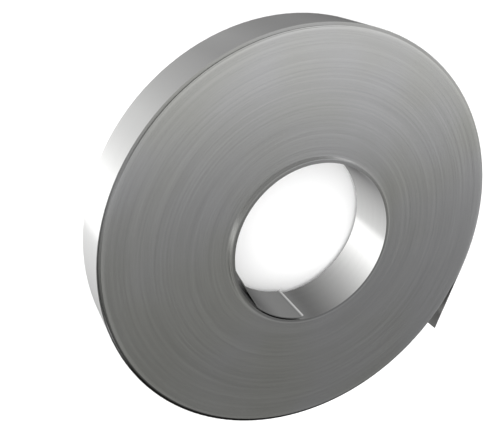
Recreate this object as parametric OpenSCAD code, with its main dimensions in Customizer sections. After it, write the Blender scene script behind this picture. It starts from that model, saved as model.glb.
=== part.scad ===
// Coil of slit steel strip lying on its back face. Millimetres, +Z up, coil axis along Z,
// front face up. Origin on the axis of the eye, at mid-width of the strip.
// Seen from above the strip winds outwards clockwise. Directions on the front face are
// given anticlockwise from +X.

/* [Coil] */
// Outside diameter over the last full turn
outer_d = 1290; // [900:10:1900]
// Diameter of the eye, left by the mandrel the strip was wound on
eye_d = 508; // [406:2:610]
// Width of the strip, which is the depth of the coil
strip_w = 170; // [60:5:300]
// Thickness of the strip
strip_t = 3; // [1:0.5:6]

/* [Turns out of line] */
// How far the first turns stand proud of the front face
eye_shift = 13; // [1:0.5:30]
// Radial build-up of those first turns
eye_band = 12; // [8:1:60]
// How far the last turns sit back from the front face
rim_shift = 5; // [1:0.5:30]
// Radial build-up of those last turns
rim_band = 9; // [4:1:60]
// Groups in which the turns between them wander in and out
groups = 24; // [8:1:40]
// Furthest that such a group stands out of line
wander = 0.8; // [0.1:0.1:3]

/* [Ends of the strip] */
// Length of the end of the last turn that springs off straight
tail_len = 285; // [60:5:400]
// Direction in which the tail leaves the coil
tail_at = -20; // [-60:1:60]
// Direction of the cut end of the first turn, inside the eye
lead_at = 262; // [180:1:300]
// Arc over which the second turn closes down again past that cut end
lead_blend = 60; // [40:5:90]

/* [Hidden] */
outer_r = outer_d / 2;
eye_r = eye_d / 2;
half_w = strip_w / 2;
// The straight tail starts this deep in the turn below it, so that its gap opens cleanly
seat = 0.3;
// Rise of the last quarter turn up to the tail
rise = strip_t - seat;
// Distance off the axis of the circle that opens the second turn past the cut end
lead_off = strip_t / (1 - cos(lead_blend));
// Cutting bodies run this far past the faces
over = 10;
// Radius at which group i starts, and how far it is shifted along the axis
function group_r(i) = eye_r + eye_band + i * (outer_r - rim_band - eye_r - eye_band) / groups;
function group_shift(i) = i < 0 ? eye_shift : i == groups ? -rim_shift : wander * sin(137 * i);

// All turns as one ring. Each group keeps the width of the strip, so it shows on both faces
module turns() {
    radii = [eye_r, for (i = [0:groups]) group_r(i), outer_r];
    rotate_extrude()
        polygon([
            for (i = [-1:groups]) for (end = [1, 2])
                [radii[i + end], group_shift(i) - half_w],
            for (i = [groups:-1:-1]) for (end = [2, 1])
                [radii[i + end], group_shift(i) + half_w]
        ]);
}

// Last quarter turn, which rises by one strip thickness, and the straight tail that it ends in
module last_turn() {
    translate([0, 0, -half_w - rim_shift]) {
        difference() {
            translate([rise, 0, 0])
                cylinder(h = strip_w, r = outer_r);
            translate([0, 0, -over])
                cylinder(h = strip_w + 2 * over, r = outer_r - rim_band / 2);
            translate([-2 * outer_r, -4 * outer_r, -over])
                cube([4 * outer_r, 4 * outer_r, strip_w + 2 * over]);
        }
        translate([outer_r - seat, -tail_len, 0])
            cube([strip_t, tail_len, strip_w]);
    }
}

// What the second turn leaves open past the cut end of the first
module lead_step() {
    intersection() {
        translate([lead_off, 0, -strip_w])
            cylinder(h = 2 * strip_w, r = eye_r + strip_t - lead_off);
        translate([0, 0, -strip_w])
            cube([outer_r, outer_r, 2 * strip_w]);
    }
}

module coil() {
    color([0.5, 0.52, 0.52])
        difference() {
            rotate([0, 0, tail_at]) {
                turns();
                last_turn();
            }
            rotate([0, 0, lead_at]) lead_step();
        }
}

coil();
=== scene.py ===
import math

import bpy
from mathutils import Matrix, Vector


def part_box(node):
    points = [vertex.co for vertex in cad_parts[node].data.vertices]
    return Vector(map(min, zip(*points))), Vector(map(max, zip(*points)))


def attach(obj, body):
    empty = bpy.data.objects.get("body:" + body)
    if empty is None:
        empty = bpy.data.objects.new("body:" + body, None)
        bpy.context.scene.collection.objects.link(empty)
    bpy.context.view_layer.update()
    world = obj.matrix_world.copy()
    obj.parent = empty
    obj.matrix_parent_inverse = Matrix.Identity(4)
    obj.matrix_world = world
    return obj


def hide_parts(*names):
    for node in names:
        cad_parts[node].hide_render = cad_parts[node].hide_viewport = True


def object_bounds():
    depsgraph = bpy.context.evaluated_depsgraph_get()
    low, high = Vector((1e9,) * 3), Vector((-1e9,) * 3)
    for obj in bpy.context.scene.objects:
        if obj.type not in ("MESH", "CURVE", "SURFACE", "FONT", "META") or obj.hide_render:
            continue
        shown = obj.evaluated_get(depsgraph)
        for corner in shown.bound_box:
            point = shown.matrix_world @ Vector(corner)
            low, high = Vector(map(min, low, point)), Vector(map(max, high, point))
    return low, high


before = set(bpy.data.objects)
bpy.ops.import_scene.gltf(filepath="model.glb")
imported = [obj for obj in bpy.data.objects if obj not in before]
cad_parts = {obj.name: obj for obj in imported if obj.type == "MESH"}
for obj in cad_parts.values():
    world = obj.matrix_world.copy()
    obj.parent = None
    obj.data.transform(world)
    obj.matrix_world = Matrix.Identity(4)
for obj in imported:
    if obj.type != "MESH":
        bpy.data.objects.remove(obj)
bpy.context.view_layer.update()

scene = bpy.context.scene


# ---------------------------------------------------------------------------------------------
# The wound strip: one length of slit, bright cold-rolled steel, wound tight on a slitter's
# mandrel. Its first turns stand proud of the face, its last ones sit back, the inner end has
# sprung off the wall of the eye and the outer end off the rim. It is all one piece.
# ---------------------------------------------------------------------------------------------

EYE_R = 0.254
STRIP_W = 0.170
RIM_R = -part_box("coil")[0][0]
# Places round the coil are in degrees anticlockwise from +X on the upper face
TAIL_AT = -20.0
TAIL_L = 0.285
LEAD_AT = 262.0
LEAD_LEAVES_WALL_AT = 188.0
LEAD_FLAT_UNTIL = 222.0
TURNS = 130 + (LEAD_AT - TAIL_AT) % 360 / 360
SLACK = 0.0035
PITCH = (RIM_R + 0.0024 - SLACK - EYE_R) / (TURNS + 1)


class Tree:
    """A node tree that is written down as sums of sockets."""

    def __init__(self, nodes, links):
        self.nodes, self.links = nodes, links

    def put(self, kind, ins=(), out=0, **settings):
        node = self.nodes.new(kind)
        for name, value in settings.items():
            setattr(node, name, value)
        for key, value in dict(ins).items():
            if value is None:
                continue
            if isinstance(value, bpy.types.NodeSocket):
                self.links.new(value, node.inputs[key])
            else:
                node.inputs[key].default_value = value
        return node.outputs[out]

    def sum(self, operation, *values, clamp=False):
        return self.put("ShaderNodeMath", dict(enumerate(values)), operation=operation,
                        use_clamp=clamp)

    def ramp(self, value, lo, hi, from_lo=0.0, from_hi=1.0, smooth=True):
        """Value carried from one range to another, easing at both ends unless smooth is false."""
        return self.put("ShaderNodeMapRange",
                        {0: value, 1: from_lo, 2: from_hi, 3: lo, 4: hi},
                        interpolation_type="SMOOTHSTEP" if smooth else "LINEAR")


winding = bpy.data.node_groups.new("winding", "GeometryNodeTree")

# The first stretch of the lead lies straight across the wall of the eye, from the place where
# it leaves the wall to one a few millimetres off it
flat_from = Matrix.Rotation(math.radians(LEAD_LEAVES_WALL_AT), 2) @ Vector((EYE_R + 0.0014, 0))
flat_to = Matrix.Rotation(math.radians(LEAD_FLAT_UNTIL), 2) @ Vector((EYE_R - 0.0050, 0))
flat_out = Vector((flat_to.y - flat_from.y, flat_from.x - flat_to.x)).normalized()
if flat_out.dot(flat_from) < 0:
    flat_out = -flat_out

sizes = {
    "Eye radius": EYE_R, "Rim radius": RIM_R, "Pitch": PITCH, "Turns": TURNS,
    "Steps a turn": 120.0, "Strip width": STRIP_W, "Strip thickness": 0.00288,
    "Lead at": math.radians(LEAD_AT), "Lead arc": math.radians(LEAD_AT - LEAD_LEAVES_WALL_AT),
    "Lead lift": 0.0050, "Flat faces": math.atan2(*flat_out.yx),
    "Flat off axis": flat_out.dot(flat_from),
    "Lip steps": 10.0, "Lip length": 0.010, "Lip lift": 0.006,
    "Tail length": TAIL_L, "Slack": SLACK,
    "Proud by": 0.013, "Proud turns": 4.0, "Set back by": 0.005, "Set back turns": 3.0,
    "Wander": 0.0011, "Chatter": 0.00025, "Seed": 7.0,
}
for name, size in sizes.items():
    winding.interface.new_socket(name, in_out="INPUT", socket_type="NodeSocketFloat")
winding.interface.new_socket("Strip finish", in_out="INPUT", socket_type="NodeSocketMaterial")
winding.interface.new_socket("Strip", in_out="OUTPUT", socket_type="NodeSocketGeometry")

t = Tree(winding.nodes, winding.links)
given = winding.nodes.new("NodeGroupInput").outputs

# Where each step of the path lies: how many turns in, with short steps along the bent lip
# that comes first, and how far past the last full turn
step = t.sum("SUBTRACT", t.put("GeometryNodeInputIndex"), given["Lip steps"])
on_lip = t.sum("DIVIDE", t.sum("MAXIMUM", t.sum("MULTIPLY", step, -1.0), 0.0),
               given["Lip steps"])
lip_turns = t.sum("DIVIDE", given["Lip length"], t.sum("MULTIPLY", given["Eye radius"], math.tau))
turn = t.sum("SUBTRACT", t.sum("DIVIDE", t.sum("MAXIMUM", step, 0.0), given["Steps a turn"]),
             t.sum("MULTIPLY", on_lip, lip_turns))
past = t.sum("MAXIMUM", t.sum("SUBTRACT", turn, given["Turns"]), 0.0)
wound = t.sum("MINIMUM", turn, given["Turns"])
angle = t.sum("SUBTRACT", given["Lead at"], t.sum("MULTIPLY", turn, math.tau))
past_angle = t.sum("MULTIPLY", past, math.tau)

# Radius of the middle of the strip as it is wound, with the last turn slack on one side
first_middle = t.sum("ADD", given["Eye radius"], t.sum("MULTIPLY", given["Strip thickness"], 0.5))
tight = t.sum("ADD", first_middle, t.sum("MULTIPLY", wound, given["Pitch"]))
to_go = t.sum("SUBTRACT", given["Turns"], turn)
slack_side = t.sum("MULTIPLY", t.ramp(to_go, 0.0, 1.0, 0.42, 0.66),
                   t.ramp(to_go, 1.0, 0.0, 0.70, 0.97))
as_wound = t.sum("ADD", tight, t.sum("MULTIPLY", given["Slack"], slack_side))

# The lead stands off the wall, flat at first, and its cut end is a short lip bent inwards
along_lead = t.sum("SUBTRACT", 1.0, t.sum("DIVIDE", turn,
                                          t.sum("DIVIDE", given["Lead arc"], math.tau)))
sprung = t.sum("SUBTRACT", as_wound,
               t.sum("MULTIPLY", given["Lead lift"], t.ramp(along_lead, 0.0, 1.0, 0.0, 0.45)))
flat = t.sum("DIVIDE", given["Flat off axis"],
             t.sum("COSINE", t.sum("SUBTRACT", angle, given["Flat faces"])))
on_flat = t.sum("MULTIPLY", t.sum("GREATER_THAN", along_lead, 0.0),
                t.sum("LESS_THAN", along_lead, 0.46))
bowed = t.put("ShaderNodeMix", {0: on_flat, 2: sprung, 3: t.sum("MINIMUM", flat, sprung)})
lip = t.sum("MULTIPLY", given["Lip lift"], t.sum("MULTIPLY", on_lip, on_lip))
# The tail goes straight on, so its radius grows with the angle past the last turn
radius = t.sum("DIVIDE", t.sum("SUBTRACT", bowed, lip), t.sum("COSINE", past_angle))

# How far the strip stands out of line along the axis of the coil
proud = t.sum("MULTIPLY", given["Proud by"], t.ramp(
    t.sum("SUBTRACT", turn, given["Proud turns"]), 1.0, 0.0, 0.0, 0.6))
back = t.sum("MULTIPLY", given["Set back by"], t.ramp(
    t.sum("SUBTRACT", turn, t.sum("SUBTRACT", given["Turns"], given["Set back turns"])),
    0.0, 1.0, -0.6, 0.0))
wandering = t.sum("MULTIPLY", given["Wander"], t.ramp(turn, 0.0, 1.0, 5.0, 9.0))
slow = t.put("ShaderNodeTexNoise", {"W": t.sum("ADD", t.sum("MULTIPLY", turn, 0.23), given["Seed"]),
                                   "Scale": 1.0, "Detail": 2.0}, noise_dimensions="1D")
quick = t.put("ShaderNodeTexNoise", {"W": t.sum("ADD", t.sum("MULTIPLY", turn, 2.7), given["Seed"]),
                                    "Scale": 1.0, "Detail": 1.0}, noise_dimensions="1D")
drift = t.sum("ADD", t.sum("MULTIPLY", t.sum("SUBTRACT", slow, 0.5), wandering),
              t.sum("MULTIPLY", t.sum("SUBTRACT", quick, 0.5), given["Chatter"]))
shift = t.sum("SUBTRACT", t.sum("ADD", proud, drift), back)

place = t.put("ShaderNodeCombineXYZ", {
    "X": t.sum("MULTIPLY", radius, t.sum("COSINE", angle)),
    "Y": t.sum("MULTIPLY", radius, t.sum("SINE", angle)),
    "Z": shift})

# The tail ends at its own length, so the count of steps follows from its angle
tail_angle = t.sum("ARCTANGENT", t.sum("DIVIDE", given["Tail length"], given["Rim radius"]))
all_turns = t.sum("ADD", given["Turns"], t.sum("DIVIDE", tail_angle, math.tau))
count = t.sum("ADD", t.sum("MULTIPLY", all_turns, given["Steps a turn"]),
              t.sum("ADD", given["Lip steps"], 1.0))
line = t.put("GeometryNodeResampleCurve",
             {"Curve": t.put("GeometryNodeCurvePrimitiveLine", {"End": (1, 0, 0)}), "Count": count})
path = t.put("GeometryNodeSetPosition", {"Geometry": line, "Position": place})
path = t.put("GeometryNodeStoreNamedAttribute",
             {"Geometry": path, "Name": "turn", "Value": turn},
             data_type="FLOAT", domain="POINT")
section = t.put("GeometryNodeCurvePrimitiveQuadrilateral",
                {"Width": given["Strip thickness"], "Height": given["Strip width"]})
path = t.put("GeometryNodeSetCurveNormal", {"Curve": path}, mode="Z_UP")
strip = t.put("GeometryNodeCurveToMesh",
              {"Curve": path, "Profile Curve": section, "Fill Caps": True})
facing = t.put("ShaderNodeSeparateXYZ", {0: t.put("GeometryNodeInputNormal")}, out=2)
strip = t.put("GeometryNodeStoreNamedAttribute",
              {"Geometry": strip, "Name": "slit",
               "Value": t.sum("GREATER_THAN", t.sum("ABSOLUTE", facing), 0.7)},
              data_type="FLOAT", domain="FACE")
bent = t.sum("GREATER_THAN", t.put("GeometryNodeInputMeshEdgeAngle"), math.radians(30))
strip = t.put("GeometryNodeSetShadeSmooth",
              {"Geometry": strip, "Selection": bent, "Shade Smooth": False}, domain="EDGE")
strip = t.put("GeometryNodeRealizeInstances", {"Geometry": strip})
strip = t.put("GeometryNodeSetMaterial", {"Geometry": strip, "Material": given["Strip finish"]})
winding.links.new(strip, winding.nodes.new("NodeGroupOutput").inputs["Strip"])

# Bright rolled faces mirror the light in long soft bands, and duller slit edges show every
# turn as a fine ring
finish = bpy.data.materials.new("bright strip")
finish.use_nodes = True
m = Tree(finish.node_tree.nodes, finish.node_tree.links)
steel = m.nodes["Principled BSDF"]
steel.inputs["Metallic"].default_value = 1.0

here = m.put("ShaderNodeTexCoord", out=3)
turn_no = m.put("ShaderNodeAttribute", out=2, attribute_name="turn")
slit = m.put("ShaderNodeAttribute", out=2, attribute_name="slit")

# Slit edges: fine rings, longer arcs where the slitter ran differently, a cloudy film of oil,
# painted shade on the turns next to the eye and the rim, and a painted highlight on the turns
# beside them and on the last turns by the tail
rings = m.put("ShaderNodeTexNoise", {"W": turn_no, "Scale": 1.0, "Detail": 3.0},
              noise_dimensions="1D")
to_the_tail = m.put("ShaderNodeSeparateXYZ", {0: here}, out=0)
to_the_back = m.put("ShaderNodeSeparateXYZ", {0: here}, out=1)
swept = m.put("ShaderNodeCombineXYZ", {0: m.sum("MULTIPLY", to_the_tail, 2.2),
                                       1: m.sum("MULTIPLY", to_the_back, 2.2),
                                       2: m.sum("MULTIPLY", turn_no, 0.35)})
arcs = m.put("ShaderNodeTexNoise", {"Vector": swept, "Scale": 1.0, "Detail": 3.0})
film = m.put("ShaderNodeTexNoise", {"Vector": here, "Scale": 2.6, "Detail": 2.0})
# Painted shade darkens the innermost turns at the eye, and a painted highlight pales the next few
eye_shade_and_highlight = m.sum("SUBTRACT", m.ramp(turn_no, 0.09, 0.0, 4.0, 8.0),
              m.ramp(turn_no, 0.16, 0.0, 2.2, 4.0))
# Painted shade on the last turns at the rim, strongest on one side, turning into a painted
# highlight by the tail
painted_rim_light_by_side = m.sum("MULTIPLY", m.ramp(to_the_back, 1.0, 0.25, -0.25, 0.25),
              m.ramp(to_the_tail, 1.0, -0.8, 0.30, 0.58))
rim_shade_and_highlight = m.sum("MULTIPLY", m.ramp(turn_no, 0.0, -0.20, TURNS - 3.2, TURNS - 2.2), painted_rim_light_by_side)
# A painted highlight pales the turns just inside the darkened last ones
rim_shade_and_highlight = m.sum("ADD", rim_shade_and_highlight, m.sum("SUBTRACT", m.ramp(turn_no, 0.0, 0.05, TURNS - 8.0, TURNS - 3.4),
                                m.ramp(turn_no, 0.0, 0.05, TURNS - 3.2, TURNS - 2.2)))
edge_tone = m.sum("ADD", m.sum("MULTIPLY", m.sum("SUBTRACT", rings, 0.5), 0.04),
                  m.sum("MULTIPLY", m.sum("SUBTRACT", arcs, 0.5), 0.085))
edge_tone = m.sum("ADD", edge_tone, m.sum("MULTIPLY", m.sum("SUBTRACT", film, 0.5), 0.06))
edge_tone = m.sum("ADD", m.sum("ADD", edge_tone, 0.285), m.sum("ADD", eye_shade_and_highlight, rim_shade_and_highlight))
edge_colour = m.put("ShaderNodeCombineColor", {
    0: m.sum("MULTIPLY", edge_tone, 0.995), 1: edge_tone,
    2: m.sum("MULTIPLY", edge_tone, m.ramp(film, 0.945, 1.01, 0.3, 0.7))})

# Rolled faces: very fine drawn lines along the strip, and faint cloudy patches of oil
drawn = m.put("ShaderNodeMapping", {"Vector": here, "Scale": (1.5, 1.5, 260.0)})
streak = m.put("ShaderNodeTexNoise", {"Vector": drawn, "Scale": 1.0, "Detail": 3.0})
face_tone = m.sum("ADD", m.sum("MULTIPLY", m.sum("SUBTRACT", streak, 0.5), 0.05),
                  m.sum("MULTIPLY", m.sum("SUBTRACT", film, 0.5), 0.06))
face_tone = m.sum("ADD", face_tone, 0.60)
face_colour = m.put("ShaderNodeCombineColor", {0: face_tone, 1: face_tone,
                                               2: m.sum("MULTIPLY", face_tone, 0.99)})

colour = m.put("ShaderNodeMix", {0: slit, 6: face_colour, 7: edge_colour}, out=2,
               data_type="RGBA")
m.links.new(colour, steel.inputs["Base Color"])
face_rough = m.sum("ADD", m.sum("MULTIPLY", streak, 0.08), m.sum("MULTIPLY", film, 0.24))
edge_rough = m.sum("ADD", m.sum("MULTIPLY", arcs, 0.10), 0.19)
rough = m.put("ShaderNodeMix", {0: slit, 2: face_rough, 3: edge_rough})
m.links.new(rough, steel.inputs["Roughness"])
height = m.put("ShaderNodeMix", {0: slit, 2: m.sum("MULTIPLY", streak, 0.05),
                                 3: m.sum("MULTIPLY", rings, 0.7)})
bump = m.put("ShaderNodeBump", {"Strength": 0.22, "Distance": 0.0008, "Height": height})
m.links.new(bump, steel.inputs["Normal"])

carrier = bpy.data.objects.new("winding", bpy.data.meshes.new("winding"))
scene.collection.objects.link(carrier)
wind = carrier.modifiers.new("winding", "NODES")
wind.node_group = winding
for socket in winding.interface.items_tree:
    if socket.in_out == "INPUT":
        wind[socket.identifier] = finish if socket.name == "Strip finish" else sizes[socket.name]
graph = bpy.context.evaluated_depsgraph_get()
strip_mesh = bpy.data.meshes.new_from_object(carrier.evaluated_get(graph), depsgraph=graph)
carrier.modifiers.clear()
bpy.data.objects.remove(carrier)
strip_mesh.name = "wound_strip"
wound_strip = bpy.data.objects.new("wound_strip", strip_mesh)
scene.collection.objects.link(wound_strip)
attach(wound_strip, "root")
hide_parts("coil")


# ---------------------------------------------------------------------------------------------
# The studio: a wide pale floor, one very large soft light high up, and a pale surround of white
# and grey boards standing round the coil. The bright strip mirrors the boards, not the floor.
# ---------------------------------------------------------------------------------------------

FLOOR_HALF = 20.0
floor_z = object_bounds()[0][2]
floor_mesh = bpy.data.meshes.new("floor")
floor_mesh.from_pydata([(x * FLOOR_HALF, y * FLOOR_HALF, floor_z)
                        for x, y in ((-1, -1), (1, -1), (1, 1), (-1, 1))], [], [(0, 1, 2, 3)])
floor = bpy.data.objects.new("floor", floor_mesh)
scene.collection.objects.link(floor)
floor.visible_glossy = False
pale = bpy.data.materials.new("pale floor")
pale.use_nodes = True
pale.node_tree.nodes["Principled BSDF"].inputs["Base Color"].default_value = (0.9, 0.9, 0.9, 1)
pale.node_tree.nodes["Principled BSDF"].inputs["Roughness"].default_value = 0.9
pale.node_tree.nodes["Principled BSDF"].inputs["Specular IOR Level"].default_value = 0.0
floor_mesh.materials.append(pale)

world = bpy.data.worlds.new("surround")
scene.world = world
world.use_nodes = True
w = Tree(world.node_tree.nodes, world.node_tree.links)
look = w.put("ShaderNodeTexCoord", out=0)
look_x = w.put("ShaderNodeSeparateXYZ", {0: look}, out=0)
look_y = w.put("ShaderNodeSeparateXYZ", {0: look}, out=1)
look_z = w.put("ShaderNodeSeparateXYZ", {0: look}, out=2)


# High up, from end to end: dark grey at the front, growing paler, then one bright board
# overhead with soft edges, then mid grey behind
TURNED_BY = 0.05
high_at = w.sum("SUBTRACT", look_y, w.sum("MULTIPLY", look_x, TURNED_BY))
high_at = w.sum("ADD", w.sum("MULTIPLY", high_at, 0.5), 0.5)
OVERHEAD, OVERHEAD_AT = 0.53, 0.445
overhead = w.sum("MULTIPLY", w.ramp(high_at, 0.0, 1.0, OVERHEAD_AT - 0.165, OVERHEAD_AT),
                 w.ramp(high_at, 1.0, 0.0, OVERHEAD_AT, OVERHEAD_AT + 0.12))
high = w.sum("ADD", w.ramp(high_at, 0.12, 0.34, 0.0, 0.5, smooth=False),
             w.sum("MULTIPLY", overhead, OVERHEAD))

# Low down, the boards go round with the compass, as a share of a full turn. They lean, so the
# share grows with height from the level LEANS_FROM
LEAN, LEANS_FROM = 0.37, -0.69
round_it = w.sum("ADD", w.sum("DIVIDE", w.sum("ARCTAN2", w.sum("MULTIPLY", look_y, -1.0),
                 w.sum("MULTIPLY", look_x, -1.0)), math.tau), 0.5)
round_it = w.sum("ADD", round_it,
                 w.sum("MULTIPLY", w.sum("SUBTRACT", look_z, LEANS_FROM), LEAN))
round_it = w.sum("FRACT", round_it)
# One white board. The greys before it darken evenly with their distance from it, the greys past
# it fade in step to nearly black, and one grey board closes the ring
WHITE, WHITE_FROM, WHITE_TO = 0.74, 0.46, 0.54
DARKENS_OVER = 0.136
PALE, BLACK_FROM = 0.44, 0.84
GREY, NEARLY_BLACK = 0.13, 0.03
before = w.sum("EXPONENT", w.sum("DIVIDE", w.sum("SUBTRACT", round_it, WHITE_FROM), DARKENS_OVER))
before = w.sum("MULTIPLY", w.sum("MINIMUM", before, 1.0), WHITE)
past_it = w.ramp(round_it, PALE, NEARLY_BLACK, WHITE_TO + 0.02, BLACK_FROM, smooth=False)
ring = w.put("ShaderNodeMix", {0: w.ramp(round_it, 0.0, 1.0, WHITE_TO, WHITE_TO + 0.02,
                                         smooth=False), 2: before, 3: past_it})
closing = w.sum("MAXIMUM", w.ramp(round_it, GREY, NEARLY_BLACK, 0.10, 0.18, smooth=False),
                w.ramp(round_it, NEARLY_BLACK, GREY, 0.87, 1.0, smooth=False))
low = w.sum("MAXIMUM", ring, closing)
below = w.sum("MULTIPLY", w.ramp(look_z, 0.13, 0.0, -0.92, -0.80, smooth=False),
              w.sum("MULTIPLY", w.ramp(round_it, 0.0, 1.0, 0.03, 0.16, smooth=False),
                    w.ramp(round_it, 1.0, 0.0, 0.31, 0.42, smooth=False)))
glow = w.put("ShaderNodeMix", {0: w.ramp(look_z, 0.0, 1.0, -0.15, 0.05),
                               2: w.sum("ADD", low, below), 3: high})
# What shows past the edge of the floor is plain white
seen = w.put("ShaderNodeLightPath", out=0)
w.links.new(w.put("ShaderNodeMix", {0: seen, 2: w.sum("MULTIPLY", glow, 2.5), 3: 1.0}),
            w.nodes["Background"].inputs["Strength"])
w.nodes["Background"].inputs["Color"].default_value = (1, 1, 1, 1)


def aim(thing, at, up=(0, 0, 1)):
    """Turn a light or the camera at its place so that it looks at a point."""
    out = (Vector(at) - thing.location).normalized()
    side = out.cross(Vector(up)).normalized()
    thing.matrix_world = Matrix.Translation(thing.location) @ Matrix(
        (side, side.cross(out), -out)).transposed().to_4x4()


soft_light = bpy.data.objects.new("soft light", bpy.data.lights.new("soft light", "SUN"))
soft_light.visible_glossy = False
soft_light.data.energy = 2.7
soft_light.data.angle = math.radians(90)
soft_light.location = (-2.6, 2.1, 4.0)
scene.collection.objects.link(soft_light)
aim(soft_light, (0, 0, 0))

# The camera looks down on the coil, turned so that the upper part of the front face is at the top
camera = bpy.data.objects.new("camera", bpy.data.cameras.new("camera"))
camera.data.sensor_width = 36.0
camera.data.lens = 49.4
camera.location = (-0.9165, 0.9346, 1.6805)
scene.collection.objects.link(camera)
aim(camera, (-0.1644, 0.0862, 0.0), up=(0, 1, 0))
scene.camera = camera
scene.view_settings.view_transform = "Standard"
